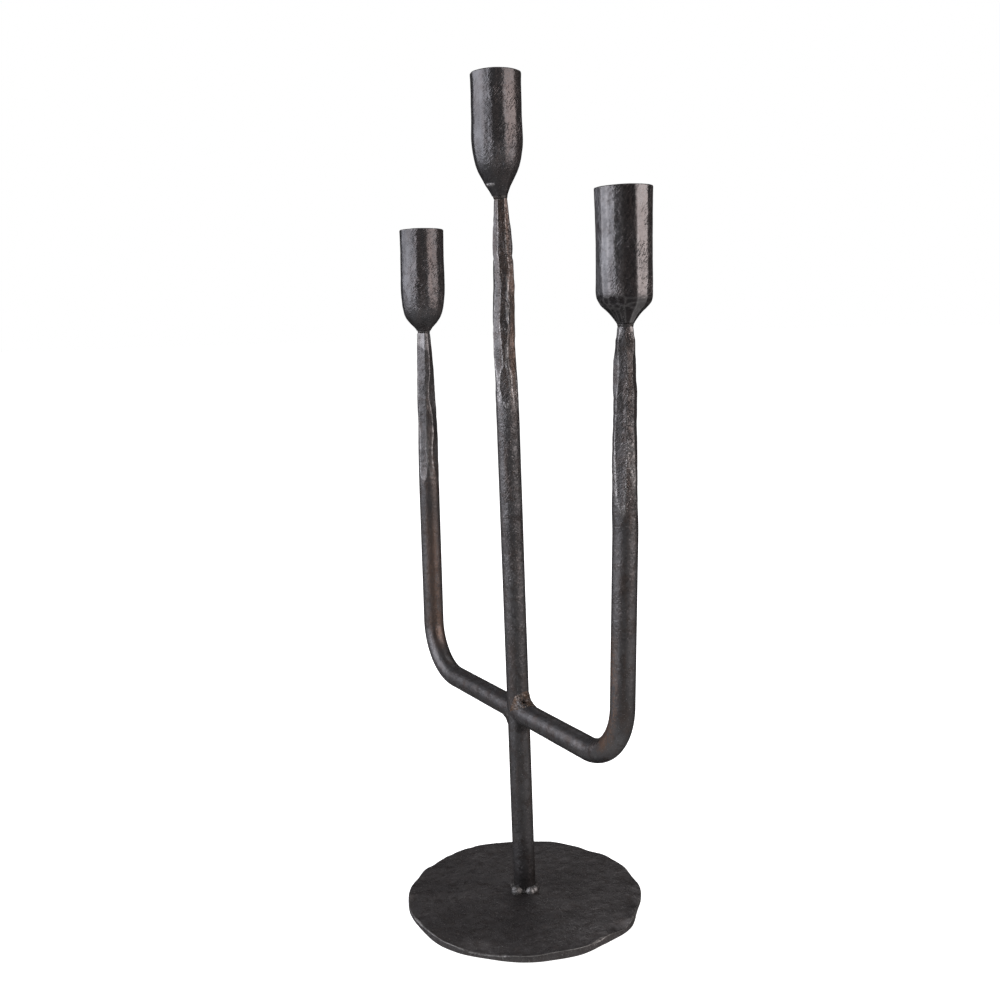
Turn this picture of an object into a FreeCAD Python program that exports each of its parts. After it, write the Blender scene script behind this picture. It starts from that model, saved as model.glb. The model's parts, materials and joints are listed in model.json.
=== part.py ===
import FreeCAD, Part
import math
import os
from FreeCAD import Vector

# Three-light tabletop candelabra of hand-forged round bar, welded together.
# Origin: underside of the foot, on the stem's axis. +Z is up.
# +X runs along the arm bar, from the stem towards the shorter arm. The front is -Y.
# All lengths are in millimetres and all angles in degrees.

# Bar stock
bar_diameter = 12.0
neck_diameter = 6.6            # round tenon that each bar end is drawn down to

# Foot: a round plate whose edge was hammered by hand. The stem stands a little off its middle.
foot_thickness = 4.8
foot_middle = Vector(4.2, -2.9, 0)
# radius every 15 degrees from +X, round the plate's own middle
foot_radii = [64.3, 63.6, 64.6, 62.7, 64.4, 63.5, 64.5, 64.7, 63.6, 64.9, 64.8, 64.6,
              65.0, 64.6, 64.5, 63.9, 63.9, 63.5, 62.8, 64.4, 64.3, 63.7, 64.7, 64.4]
foot_edge_round = 0.9

# Stem and arm bar
crossing_height = 107.2        # centre line of the arm bar where it crosses the stem
left_reach = 102.4             # stem axis to the axis of the left upright
right_reach = 96.5             # stem axis to the axis of the right upright
bend_radius = 29.0             # centre line of the two bends
stem_lean = 0.8                # the stem leans this much towards the front
right_lean = 1.7               # the right upright leans this much towards the back ...
right_straight_height = 219.2  # ... up to this height, and stands upright above it
right_straight_radius = 370.0  # gentle bend between the two
cope_trim = 2.0                # the pointed tips of the coped stem ends are ground back

# Height of the lower end of each candle cup
centre_neck_height = 378.2
left_neck_height = 311.7
right_neck_height = 312.7

# Drawn-down bar ends: distance below the cup's lower end and width across the hammered flats
centre_taper = [(113.0, 12.6), (81.0, 11.1), (53.0, 10.6), (29.0, 9.7), (14.0, 8.0), (1.5, 6.8)]
left_taper = [(98.5, 12.6), (79.5, 11.3), (54.5, 10.4), (40.5, 9.2), (20.5, 8.6), (1.5, 6.8)]
right_taper = [(87.5, 12.6), (68.5, 11.4), (45.5, 10.4), (25.5, 9.3), (12.5, 8.6), (1.5, 6.6)]
corner_share = 0.26            # share of the width taken off each corner of the square

# Candle cups: pipe with its lower end swaged onto the tenon
cup_bore_radius = 11.25        # takes a standard 22 mm taper candle
bore_start = 21.0              # height of the bore's lower end above the cup's lower end
cup_floor = 8.0                # height of the floor round the tenon
floor_radius = 6.8
# outer profile: height above the cup's lower end, radius
belly_profile = [(0.0, 3.9), (5.0, 6.7), (11.0, 9.9), (17.0, 12.0), (26.0, 13.0), (38.0, 12.75), (50.0, 12.65)]
stubby_profile = [(0.0, 3.9), (4.0, 6.6), (9.5, 10.9), (16.0, 12.3), (27.0, 13.05), (38.0, 12.8), (48.0, 12.75)]
straight_profile = [(0.0, 3.9), (4.0, 6.6), (8.5, 11.3), (14.0, 12.6), (24.0, 12.65), (36.0, 12.8), (48.0, 12.95)]
rim_flare = 0.15               # the rim stands out this much from the last profile point
centre_cup_height = 60.0
left_cup_height = 58.5
right_cup_height = 59.5

# Welds
foot_weld_leg = 2.4
foot_weld_lumps = 9
# welds in the crossing's inner corners: turn round the corner, leg up the stem, leg along the arm bar
top_weld_legs = [(-62, 1.4, 1.4), (-45, 4.0, 4.2), (-15, 5.2, 6.0), (12, 6.0, 7.5), (40, 6.6, 9.0),
                 (60, 1.6, 1.8)]
bottom_weld_legs = [(-52, 1.8, 1.8), (-36, 3.4, 3.4), (-10, 4.4, 4.4), (28, 4.6, 4.4), (50, 1.8, 1.8)]
weld_root = 1.2                # each weld bites this deep into the corner before the bars are cut out
neck_weld_height = 1.4

bar_radius = bar_diameter / 2
tenon_radius = neck_diameter / 2
arm_plane_y = -crossing_height * math.tan(math.radians(stem_lean))
stem_direction = Vector(0, -math.sin(math.radians(stem_lean)), math.cos(math.radians(stem_lean)))
lean_direction = Vector(0, math.sin(math.radians(right_lean)), math.cos(math.radians(right_lean)))
crossing = Vector(0, arm_plane_y, crossing_height)


def on_stem(height):
    """Point on the leaning stem axis at a height."""
    return stem_direction * (height / stem_direction.z)


def flats_section(centre, axis, width):
    """Closed outline of a square with its corners hammered off, across an axis."""
    side = Vector(1, 0, 0)
    depth = axis.cross(side)
    half = width / 2
    cut = half - corner_share * width
    corners = [(half, -cut), (half, cut), (cut, half), (-cut, half),
               (-half, cut), (-half, -cut), (-cut, -half), (cut, -half)]
    points = [centre + side * a + depth * b for a, b in corners]
    return Part.makePolygon(points + [points[0]])


def drawn_end(point_at, axis, neck_height, taper):
    """Bar end hammered from round to a chamfered square that narrows to the neck."""
    low = point_at(neck_height - taper[0][0])
    high = point_at(neck_height - taper[-1][0])
    sections = [flats_section(point_at(neck_height - drop), axis, width) for drop, width in taper]
    envelope = Part.makeLoft(sections, True, True)
    round_bar = Part.makeCylinder(bar_radius, (high - low).Length, low, axis)
    return envelope.common(round_bar)


def tenon(neck_point, taper):
    """Round peg that stands in the cup's floor, from the drawn end up to the floor."""
    below = taper[-1][0] + 0.4
    return Part.makeCylinder(tenon_radius, cup_floor + below, neck_point - Vector(0, 0, below))


def rounded_path(points, radii):
    """Centre line through the points, each inner corner rounded by a tangent arc."""
    edges = []
    last = points[0]
    for before, corner, after, radius in zip(points, points[1:], points[2:], radii):
        to_before = (before - corner).normalize()
        to_after = (after - corner).normalize()
        half_angle = to_before.getAngle(to_after) / 2
        set_back = radius / math.tan(half_angle)
        start = corner + to_before * set_back
        end = corner + to_after * set_back
        middle_line = (to_before + to_after).normalize()
        middle = corner + middle_line * (radius / math.sin(half_angle) - radius)
        edges.append(Part.LineSegment(last, start).toShape())
        edges.append(Part.Arc(start, middle, end).toShape())
        last = end
    edges.append(Part.LineSegment(last, points[-1]).toShape())
    return Part.Wire(edges)


def round_bar_along(path, start_axis):
    """Round bar swept along a centre line."""
    start = path.Edges[0].Vertexes[0].Point
    ring = Part.Wire([Part.makeCircle(bar_radius, start, start_axis)])
    return path.makePipeShell([ring], True, False)


def left_point(height):
    return Vector(-left_reach, arm_plane_y, height)


def right_kink():
    """Point where the leaning part of the right upright meets the upright part."""
    return Vector(right_reach, arm_plane_y, crossing_height) \
        + lean_direction * ((right_straight_height - crossing_height) / lean_direction.z)


def right_point(height):
    return Vector(right_kink().x, right_kink().y, height)


def arm_bar():
    """One bar bent into a U, both ends drawn down to a tenon."""
    left_top = left_point(left_neck_height - left_taper[0][0])
    left_corner = left_point(crossing_height)
    right_corner = Vector(right_reach, arm_plane_y, crossing_height)
    right_top = right_point(right_neck_height - right_taper[0][0])
    path = rounded_path([left_top, left_corner, right_corner, right_kink(), right_top],
                        [bend_radius, bend_radius, right_straight_radius])
    bar = round_bar_along(path, Vector(0, 0, -1))
    pieces = [drawn_end(left_point, Vector(0, 0, 1), left_neck_height, left_taper),
              drawn_end(right_point, Vector(0, 0, 1), right_neck_height, right_taper),
              tenon(left_point(left_neck_height), left_taper),
              tenon(right_point(right_neck_height), right_taper)]
    return bar.multiFuse(pieces).removeSplitter()


def arm_run():
    """The straight run of the arm bar, a little past both bends' starts."""
    start = crossing - Vector(60, 0, 0)
    return Part.makeCylinder(bar_radius, 120, start, Vector(1, 0, 0))


def lower_stem():
    """Bar from the foot to the crossing, its top coped round the arm bar."""
    bar = Part.makeCylinder(bar_radius, crossing_height, Vector(0, 0, 0), stem_direction)
    band = Part.makeBox(40, 40, crossing_height - cope_trim - foot_thickness, Vector(-20, -20, foot_thickness))
    return bar.common(band).cut(arm_run())


def upper_stem():
    """Bar from the crossing to the centre cup, coped below and drawn down above."""
    start = on_stem(crossing_height)
    round_top = on_stem(centre_neck_height - centre_taper[0][0])
    bar = Part.makeCylinder(bar_radius, (round_top - start).Length, start, stem_direction)
    end = drawn_end(on_stem, stem_direction, centre_neck_height, centre_taper)
    peg = tenon(on_stem(centre_neck_height), centre_taper)
    above = Part.makeBox(40, 40, 400, Vector(-20, -30, crossing_height + cope_trim))
    return bar.multiFuse([end, peg]).common(above).cut(arm_run()).removeSplitter()


def foot_plate():
    """Hammered round plate with a worn upper edge."""
    count = len(foot_radii)
    points = [foot_middle + Vector(r * math.cos(2 * math.pi * k / count), r * math.sin(2 * math.pi * k / count), 0)
              for k, r in enumerate(foot_radii)]
    outline = Part.BSplineCurve()
    outline.interpolate(points, PeriodicFlag=True)
    plate = Part.Face(Part.Wire([outline.toShape()])).extrude(Vector(0, 0, foot_thickness))
    top_edges = [e for e in plate.Edges if e.BoundBox.ZMin > foot_thickness - 0.01]
    return plate.makeFillet(foot_edge_round, top_edges)


def candle_cup(lower_end, height, profile):
    """Pipe swaged to a closed lower end, open at the top, with a plain round bore."""
    outer_points = [Vector(r, 0, z) for z, r in profile]
    outer_points.append(Vector(profile[-1][1] + rim_flare, 0, height))
    outer = Part.BSplineCurve()
    outer.interpolate(outer_points)
    rim = Vector(cup_bore_radius, 0, height)
    inside = [rim, Vector(cup_bore_radius, 0, bore_start), Vector(floor_radius, 0, cup_floor),
              Vector(tenon_radius, 0, cup_floor), Vector(tenon_radius, 0, 0)]
    edges = [outer.toShape(), Part.makeLine(outer_points[-1], rim)]
    edges += [Part.makeLine(a, b) for a, b in zip(inside, inside[1:])]
    edges.append(Part.makeLine(inside[-1], outer_points[0]))
    cup = Part.Face(Part.Wire(edges)).revolve(Vector(0, 0, 0), Vector(0, 0, 1), 360)
    cup.translate(lower_end)
    return cup


def neck_weld(lower_end):
    """Small ring of weld that closes the joint between a tenon and its cup."""
    base = lower_end - Vector(0, 0, neck_weld_height)
    ring = Part.makeCone(tenon_radius + 0.25, tenon_radius + 0.8, neck_weld_height, base)
    return ring.cut(Part.makeCylinder(tenon_radius, neck_weld_height, base))


def foot_weld():
    """Lumpy bead round the foot of the stem."""
    base = on_stem(foot_thickness)
    bead = Part.makeCone(bar_radius + foot_weld_leg, bar_radius + 0.2, foot_weld_leg + 0.4, base)
    lumps = []
    for k in range(foot_weld_lumps):
        angle = 2 * math.pi * k / foot_weld_lumps - 0.35
        size = 1.9 + 0.35 * math.sin(2.3 * k)
        lumps.append(Part.makeSphere(size, base + Vector(7.1 * math.cos(angle), 7.1 * math.sin(angle), 0.6)))
    bead = bead.multiFuse(lumps)
    above_foot = Part.makeBox(40, 40, 20, Vector(-20, -20, foot_thickness))
    stem = Part.makeCylinder(bar_radius, 40, Vector(0, 0, 0), stem_direction)
    return bead.common(above_foot).cut(stem).removeSplitter()


def crossing_weld(side, legs):
    """Fillet in one inner corner between stem and arm bar: side +1 is right above, -1 is left below."""
    sections = []
    for turn, stem_leg, arm_leg in legs:
        out = bar_radius * math.cos(math.radians(turn))
        corner = crossing + Vector(side * out, bar_radius * math.sin(math.radians(turn)), side * out)
        root = corner - Vector(side * weld_root, 0, side * weld_root)
        slope = stem_leg / arm_leg
        on_upright = corner + Vector(-side * weld_root, 0, side * (stem_leg + weld_root * slope))
        on_arm = corner + Vector(side * (arm_leg + weld_root / slope), 0, -side * weld_root)
        sections.append(Part.makePolygon([root, on_upright, on_arm, root]))
    strip = Part.makeLoft(sections, True, True)
    stem = Part.makeCylinder(bar_radius, 60, on_stem(crossing_height - 30), stem_direction)
    return strip.cut(stem).cut(arm_run()).removeSplitter()


centre_end = on_stem(centre_neck_height)
left_end = left_point(left_neck_height)
right_end = right_point(right_neck_height)

parts = {
    "foot_plate": foot_plate(),
    "lower_stem": lower_stem(),
    "upper_stem": upper_stem(),
    "arm_bar": arm_bar(),
    "centre_cup": candle_cup(centre_end, centre_cup_height, belly_profile),
    "left_cup": candle_cup(left_end, left_cup_height, stubby_profile),
    "right_cup": candle_cup(right_end, right_cup_height, straight_profile),
    "foot_weld": foot_weld(),
    "crossing_weld_top": crossing_weld(1, top_weld_legs),
    "crossing_weld_bottom": crossing_weld(-1, bottom_weld_legs),
    "centre_neck_weld": neck_weld(centre_end),
    "left_neck_weld": neck_weld(left_end),
    "right_neck_weld": neck_weld(right_end),
}

os.makedirs("parts", exist_ok=True)
for name, shape in parts.items():
    box = shape.BoundBox
    print(name, shape.isValid(), len(shape.Solids), round(shape.Volume, 1),
          [round(v, 2) for v in (box.XMin, box.YMin, box.ZMin, box.XMax, box.YMax, box.ZMax)])
    shape.exportStep("parts/" + name + ".step")
print("cup lower ends", [[round(v, 3) for v in p] for p in (centre_end, left_end, right_end)])
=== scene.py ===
import json
import math

import bmesh
import bpy
import numpy as np
from mathutils import Matrix, Vector


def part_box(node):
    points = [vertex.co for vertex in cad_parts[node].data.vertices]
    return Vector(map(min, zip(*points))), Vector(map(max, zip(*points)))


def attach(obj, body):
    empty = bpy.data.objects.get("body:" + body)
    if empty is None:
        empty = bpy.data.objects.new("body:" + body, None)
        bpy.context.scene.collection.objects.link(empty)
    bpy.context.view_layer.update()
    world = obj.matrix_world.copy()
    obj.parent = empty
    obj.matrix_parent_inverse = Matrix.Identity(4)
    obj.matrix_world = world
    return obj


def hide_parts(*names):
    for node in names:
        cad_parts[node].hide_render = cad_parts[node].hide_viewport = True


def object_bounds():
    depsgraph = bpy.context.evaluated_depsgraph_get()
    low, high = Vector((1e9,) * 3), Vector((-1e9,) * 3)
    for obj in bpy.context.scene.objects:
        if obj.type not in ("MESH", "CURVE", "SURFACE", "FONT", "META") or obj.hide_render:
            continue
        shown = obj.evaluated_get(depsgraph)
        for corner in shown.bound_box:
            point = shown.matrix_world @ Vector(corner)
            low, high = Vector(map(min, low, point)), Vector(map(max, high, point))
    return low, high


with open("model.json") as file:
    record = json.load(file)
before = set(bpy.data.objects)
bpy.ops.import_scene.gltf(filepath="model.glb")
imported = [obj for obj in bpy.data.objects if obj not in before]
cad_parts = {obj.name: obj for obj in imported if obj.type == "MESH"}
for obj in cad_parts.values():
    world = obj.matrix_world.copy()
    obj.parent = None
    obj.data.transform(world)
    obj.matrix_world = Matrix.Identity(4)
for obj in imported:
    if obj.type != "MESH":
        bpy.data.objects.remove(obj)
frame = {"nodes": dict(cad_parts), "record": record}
cad_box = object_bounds()

# Three-light tabletop candelabra of blackened forged iron.
# Lengths are in metres and angles in radians, except where a name or a comment says mm or degrees.
# drop is always the distance below the neck of a bar, in mm.

# ------------ sizes
MM = 0.001
BAR_RADIUS = 6.0 * MM
TENON_RADIUS = 3.3 * MM
BEND_RADIUS = 29.0 * MM
STRAIGHT_RADIUS = 370.0 * MM            # gentle bend in the right upright
STRAIGHT_ABOVE_CROSSING = 112.0 * MM    # the right upright leans up to this height above the arm bar
BORE_RADIUS = 11.25 * MM
CAMERA_SIDE = math.radians(-29.73)      # direction of the camera round the object, from +X

mounts = {m["name"]: Vector(m["pos_m"]) for m in frame["record"]["mounts"]}
centre_axis = mounts["centre_candle_socket"]
left_axis = mounts["left_candle_socket"]
right_axis = mounts["right_candle_socket"]
arm_low, arm_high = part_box("arm_bar")
foot_low, foot_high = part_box("foot_plate")
CROSSING_HEIGHT = arm_low.z + BAR_RADIUS
ARM_Y = left_axis.y
CENTRE_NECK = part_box("centre_cup")[0].z
LEFT_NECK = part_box("left_cup")[0].z
RIGHT_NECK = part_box("right_cup")[0].z

# unit vectors from left to right across the front, and from the object to the camera
ACROSS = np.array([-math.sin(CAMERA_SIDE), math.cos(CAMERA_SIDE), 0.0])
TOWARD = np.array([math.cos(CAMERA_SIDE), math.sin(CAMERA_SIDE), 0.0])
UP = np.array([0.0, 0.0, 1.0])


# ------------ noise
def lattice(cell, seed):
    """Repeatable random value from -1 to 1 for each integer cell."""
    n = cell[..., 0] * 374761393 + cell[..., 1] * 668265263 + cell[..., 2] * 2147483647 + seed * 974634777
    n = n & 0xFFFFFFFF
    n = ((n ^ (n >> 13)) * 1274126177) & 0xFFFFFFFF
    n = ((n ^ (n >> 16)) * 2246822519) & 0xFFFFFFFF
    n = n ^ (n >> 13)
    return (n & 0xFFFFFF) / float(0x7FFFFF) - 1.0


def noise(points, size, seed):
    """Smooth random field over 3-D points, with features of this size (one number or three)."""
    p = np.asarray(points, float) / np.asarray(size, float)
    base = np.floor(p).astype(np.int64)
    f = p - base
    f = f * f * (3 - 2 * f)
    total = 0
    for corner in np.ndindex(2, 2, 2):
        weight = np.where(corner, f, 1 - f)
        weight = weight[..., 0] * weight[..., 1] * weight[..., 2]
        total = total + weight * lattice(base + np.array(corner), seed)
    return total


def ease(low, high, x):
    """0 below low, 1 above high, and a smooth rise between."""
    t = np.clip((np.asarray(x, float) - low) / (high - low), 0, 1)
    return t * t * (3 - 2 * t)


def band(low, high, soft, x):
    """1 between low and high, and fading to 0 within soft of each end."""
    return ease(low - soft, low + soft, x) * (1 - ease(high - soft, high + soft, x))


def wander(x, size, seed):
    """Smooth random value along one coordinate."""
    x = np.asarray(x, float)
    return noise(np.stack([x, np.full_like(x, 0.37 * size), np.full_like(x, 0.61 * size)], -1), size, seed)


def blows(x, size, seed):
    """Random value along one coordinate that holds still and then changes quickly, as hammer blows do."""
    p = np.asarray(x, float) / size
    cell = np.floor(p).astype(np.int64)
    blank = np.zeros_like(cell)
    here = lattice(np.stack([cell, blank, blank], -1), seed)
    after = lattice(np.stack([cell + 1, blank, blank], -1), seed)
    return here + (after - here) * ease(0.62, 1.0, p - cell)


def table(pairs, x):
    """Straight-line table of (position, value)."""
    xs, ys = zip(*pairs)
    return np.interp(x, xs, ys)


def turns(count):
    """Angles of this many points round a circle."""
    return np.linspace(0, 2 * math.pi, count, endpoint=False)


def unit_circle(angle):
    return np.stack([np.cos(angle), np.sin(angle), 0 * angle], -1)


def toward(angle, turn_deg=0):
    """Cosine of the angle from the direction turn_deg to the right of the camera."""
    return np.cos(angle - CAMERA_SIDE - math.radians(turn_deg))


def facing(angle, turn_deg, soft=0.35):
    """1 on the side that faces turn_deg to the right of the camera, 0 on the other side."""
    return ease(-0.05, soft * 2, toward(angle, turn_deg))


# ------------ meshes
# what a mesh tells its material, point by point: worn ridges, brown rubs, pits, black scale that also carries
# painted shade, and bright metal that also carries painted highlights
MARKS = ("edge", "rub", "pits", "scale", "polish")


def finish_mesh(name, mesh, marks, slot_name, replaces):
    """Turns the faces outwards, stores the surface marks and makes the piece.
    replaces lists the CAD nodes that the piece stands for."""
    shell = bmesh.new()
    shell.from_mesh(mesh)
    bmesh.ops.recalc_face_normals(shell, faces=shell.faces)
    shell.to_mesh(mesh)
    shell.free()
    mesh.shade_smooth()
    count = len(mesh.vertices)
    for key in MARKS:
        values = np.asarray(marks.get(key, 0.0), np.float32).reshape(-1)
        if len(values) == 1:
            values = np.repeat(values, count)
        values = np.concatenate([values, np.zeros(count - len(values), np.float32)])
        mesh.attributes.new(key, "FLOAT", "POINT").data.foreach_set("value", values)
    piece = bpy.data.objects.new(name, mesh)
    bpy.context.scene.collection.objects.link(piece)
    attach(piece, "root")
    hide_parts(*replaces)
    mesh.materials.clear()
    mesh.materials.append(materials[slot_name])


def grid_mesh(name, rows, marks, slot_name, replaces):
    """Closed skin of rings: rows is (rings, points round, 3), and a fan closes each end."""
    count, around = rows.shape[:2]
    verts = rows.reshape(-1, 3)
    start = np.arange(count - 1)[:, None] * around
    k = np.arange(around)[None, :]
    after = (k + 1) % around
    quads = np.stack([start + k, start + after, start + around + after, start + around + k], -1)
    faces = quads.reshape(-1, 4).tolist()
    first, last = len(verts), (count - 1) * around
    faces += [[first, (i + 1) % around, i] for i in range(around)]
    faces += [[first + 1, last + i, last + (i + 1) % around] for i in range(around)]
    verts = np.vstack([verts, rows[0].mean(0), rows[-1].mean(0)])
    mesh = bpy.data.meshes.new(name)
    mesh.from_pydata(verts.tolist(), [], faces)
    finish_mesh(name, mesh, marks, slot_name, replaces)


# ------------ forged sections
BAR_SHARPNESS = 64.0       # how crisp the ridges between the flats are
CUP_SHARPNESS = 150.0
BLOW_SPACING = 15.0        # mm between hammer blows along a bar
TWIST_SPACING = 17.0


def forged_radius(angle, flats, limit, sharpness):
    """Radius of a round bar of radius limit with flats hammered on it.
    Each flat is (direction, distance from the axis). Also gives how near a point is to a ridge."""
    sizes = (np.shape(value) for flat in flats for value in flat)
    shape = np.broadcast_shapes(angle.shape, np.shape(limit), *sizes)
    inverse = np.ones(shape)
    nearest = np.zeros(shape) + limit
    for direction, distance in flats:
        slant = np.cos(angle - direction)
        reach = np.where(slant > 0.15, distance / np.maximum(slant, 0.15), 1.0)
        inverse = inverse + np.minimum(limit / reach, 10.0) ** sharpness
        nearest = np.minimum(nearest, reach)
    radius = limit * inverse ** (-1.0 / sharpness)
    ridge = np.clip((1 - radius / nearest) * sharpness / math.log(2), 0, 1)
    return radius, ridge


def hammered_end(angle, drop, main, corner, turn_deg, seed, front_cut=0.0):
    """Chamfered square section whose flats shift from blow to blow. main and corner give the widths in mm,
    turn_deg is the first flat's direction from the camera, and front_cut is how much deeper the last flat
    was struck, in mm."""
    turn = CAMERA_SIDE + math.radians(turn_deg)
    forged = 1 - ease(main[-2][0], main[-1][0], drop)
    flats = []
    for k in range(8):
        square = k % 2 == 0
        shift = blows(drop, BLOW_SPACING, seed + k) * 0.32 + wander(drop, 9.0, seed + 40 + k) * 0.14
        twist = blows(drop, TWIST_SPACING, seed + 20 + k) * (7.0 if square else 14.0)
        twist = np.radians(twist + wander(drop, 30.0, seed + 60 + k) * 6.0)
        distance = table(main if square else corner, drop) / 2 + shift * forged
        if k == 7:
            distance = distance - front_cut * (0.55 + 0.45 * blows(drop, 24.0, seed + 90)) * forged
        direction = turn + k * math.pi / 4 + twist * forged
        flats.append((direction[:, None], distance[:, None] * MM))
    return forged_radius(angle, flats, BAR_RADIUS, BAR_SHARPNESS)


def with_tenon(radius, drop, shoulder):
    """Rounds the last stretch of a bar, down to shoulder in mm below the neck, to the tenon in the cup."""
    peg = 1 - ease(0.5, shoulder, drop)[:, None]
    return radius * (1 - peg) + TENON_RADIUS * peg


# ------------ materials
class Shader:
    """Builds one principled material out of procedural nodes."""

    def __init__(self, name):
        self.material = bpy.data.materials.new(name)
        self.material.use_nodes = True
        self.nodes = self.material.node_tree.nodes
        self.links = self.material.node_tree.links
        self.nodes.clear()
        out = self.nodes.new("ShaderNodeOutputMaterial")
        self.bsdf = self.nodes.new("ShaderNodeBsdfPrincipled")
        self.links.new(self.bsdf.outputs["BSDF"], out.inputs["Surface"])
        self.place = self.nodes.new("ShaderNodeTexCoord").outputs["Object"]

    def join(self, source, target):
        if isinstance(source, (int, float)):
            target.default_value = source
        elif isinstance(source, tuple):
            target.default_value = (*source, 1.0)
        else:
            self.links.new(source, target)

    def fill(self, node, sources):
        """Sets the named inputs of a node: each to a number, a colour or another node's output."""
        for key, source in sources.items():
            self.join(source, node.inputs[key])
        return node

    def new(self, kind, sources):
        return self.fill(self.nodes.new("ShaderNode" + kind), sources)

    def stretched(self, direction, amount):
        """Object coordinates in which a texture is drawn out along a direction."""
        node = self.new("Mapping", {"Vector": self.place})
        node.vector_type = "TEXTURE"
        turned = Vector(direction).normalized().to_track_quat("X", "Z").to_matrix()
        node.inputs["Rotation"].default_value = turned.to_euler()
        node.inputs["Scale"].default_value = (amount, 1, 1)
        return node.outputs["Vector"]

    def noise(self, size_mm, detail=3.0, roughness=0.55, place=None):
        node = self.new("TexNoise", {"Vector": place or self.place, "Scale": 1 / (size_mm * MM),
                                     "Detail": detail, "Roughness": roughness})
        return node.outputs["Fac"]

    def cells(self, size_mm):
        node = self.new("TexVoronoi", {"Vector": self.place, "Scale": 1 / (size_mm * MM)})
        return node.outputs["Distance"]

    def ramp(self, source, low, high, to_low=0.0, to_high=1.0):
        node = self.nodes.new("ShaderNodeMapRange")
        node.interpolation_type = "SMOOTHSTEP"
        self.fill(node, {"Value": source, "From Min": low, "From Max": high,
                         "To Min": to_low, "To Max": to_high})
        return node.outputs["Result"]

    def math(self, operation, a, b):
        node = self.new("Math", {0: a, 1: b})
        node.operation = operation
        return node.outputs[0]

    def add(self, a, b):
        return self.math("ADD", a, b)

    def times(self, a, b):
        return self.math("MULTIPLY", a, b)

    def mix(self, factor, a, b):
        node = self.nodes.new("ShaderNodeMix")
        node.data_type = "RGBA"
        first, second, result = 6, 7, 2     # the node's colour sockets
        self.fill(node, {"Factor": factor, first: a, second: b})
        return node.outputs[result]

    def attribute(self, name):
        node = self.nodes.new("ShaderNodeAttribute")
        node.attribute_name = name
        return node.outputs["Fac"]

    def bump(self, height, distance_mm, normal=None):
        node = self.new("Bump", {"Height": height, "Distance": distance_mm * MM, "Strength": 1.0})
        if normal is not None:
            self.join(normal, node.inputs["Normal"])
        return node.outputs["Normal"]


def patina(s, marks, colours, cloud, grain, sparkle):
    """Colour of the iron: cloudy patina, brown rubs, bright worn ridges, and black forge scale in the places
    that were heated last, with painted shade also laid on through the scale mark and painted highlights
    through the polish mark. Also gives how black and how bright each place is."""
    dark, brown, worn, black = colours
    edge, rub, pits, scale, polish = marks
    streak = s.noise(5.0, 4.0, 0.6, s.stretched((0, 0, 1), 6.0))
    patchy = s.ramp(s.add(cloud, s.times(streak, 0.6)), 0.68, 0.94)
    tone = s.mix(patchy, dark, tuple(0.70 * v for v in dark))
    stain = tuple(0.38 * a + 0.16 * b for a, b in zip(dark, brown))
    tone = s.mix(s.ramp(s.noise(4.5, 3.0, 0.6), 0.50, 0.64, 0.0, 0.65), tone, stain)
    hint = s.times(s.ramp(s.add(streak, s.times(grain, 0.3)), 0.60, 0.90), 0.22)
    rubbed = s.times(rub, s.ramp(s.add(grain, streak), 0.78, 1.12))
    tone = s.mix(s.math("MINIMUM", s.add(hint, rubbed), 1.0), tone, brown)
    black_scale_and_shade = s.times(scale, s.ramp(s.add(grain, cloud), 0.60, 1.10, 1.0, 0.80))
    tone = s.mix(black_scale_and_shade, tone, black)
    spots = s.times(s.ramp(s.noise(0.6, 2.0, 0.6), 0.60, 0.74), s.add(sparkle, s.times(pits, 0.6)))
    tone = s.mix(spots, tone, worn)
    nicks = s.add(s.noise(2.0, 3.0, 0.7), s.times(cloud, 0.4))
    worn_edge = s.times(edge, s.ramp(nicks, 0.50, 0.80))
    bright = s.math("MINIMUM", s.add(worn_edge, s.times(polish, 0.8)), 1.0)
    return s.mix(bright, tone, worn), black_scale_and_shade, bright


def forged_skin(s, pits, relief, pebble_mm, pebble_depth, hatch_depth):
    """Bumps of the iron: soft relief, patches of pebbles and patches of slanted file marks.
    Pebbles and file marks are stronger where the mesh says pits."""
    patches = s.ramp(s.noise(6.0, 2.0, 0.5), 0.40, 0.60, 0.25, 1.0)
    pebbles = s.add(s.ramp(s.cells(pebble_mm), 0.05, 0.60), s.times(s.noise(0.8, 2.0, 0.6), 0.9))
    pebbles = s.times(s.times(pebbles, patches), s.add(0.18, pits))
    slant = tuple(0.62 * ACROSS + 0.78 * UP)
    hatch = s.ramp(s.noise(0.7, 1.0, 0.4, s.stretched(slant, 5.0)), 0.50, 0.72)
    hatch = s.times(s.times(hatch, s.ramp(s.noise(9.0, 1.0, 0.5), 0.44, 0.56)), pits)
    normal = s.bump(s.noise(3.6, 3.0, 0.55), relief)
    normal = s.bump(pebbles, pebble_depth, normal)
    return s.bump(hatch, hatch_depth, normal)


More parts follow.
